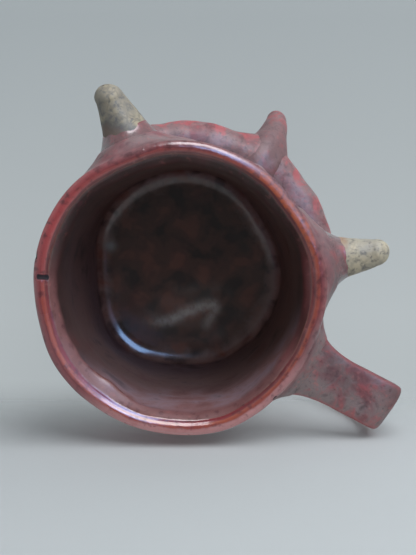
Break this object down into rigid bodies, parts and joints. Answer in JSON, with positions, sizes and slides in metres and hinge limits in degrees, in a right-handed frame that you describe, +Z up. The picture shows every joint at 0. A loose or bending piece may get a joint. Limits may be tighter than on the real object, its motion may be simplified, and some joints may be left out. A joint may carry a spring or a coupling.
{
  "type": "mug",
  "caption": "Hand-built glazed stoneware mug with a strap handle and a horned face modelled on its wall, for hot drinks.",
  "frame": {"origin": "centre of the base's underside, on the table", "axes": "+Z up along the cup's axis, -Y the way the face looks, the handle towards -X"},
  "size_m": [0.1339, 0.1155, 0.1],
  "materials": {
    "red_glaze": "glossy mauve and iron-red stoneware glaze",
    "dark_glaze": "glossy brown-black liner glaze",
    "bone_glaze": "satin speckled bone glaze",
    "foot_clay": "bare fired stoneware"
  },
  "bodies": {
    "root": {"cup_wall": "red_glaze", "base_disc": "foot_clay", "floor_cove_coil": "dark_glaze", "handle_strap": "red_glaze", "left_horn": "bone_glaze", "left_horn_collar": "red_glaze", "left_eye": "bone_glaze", "left_brow": "red_glaze", "right_horn": "bone_glaze", "right_horn_collar": "red_glaze", "right_eye": "bone_glaze", "right_brow": "red_glaze", "nose": "red_glaze", "upper_lip": "red_glaze", "lower_lip": "red_glaze"}
  },
  "joints": []
}
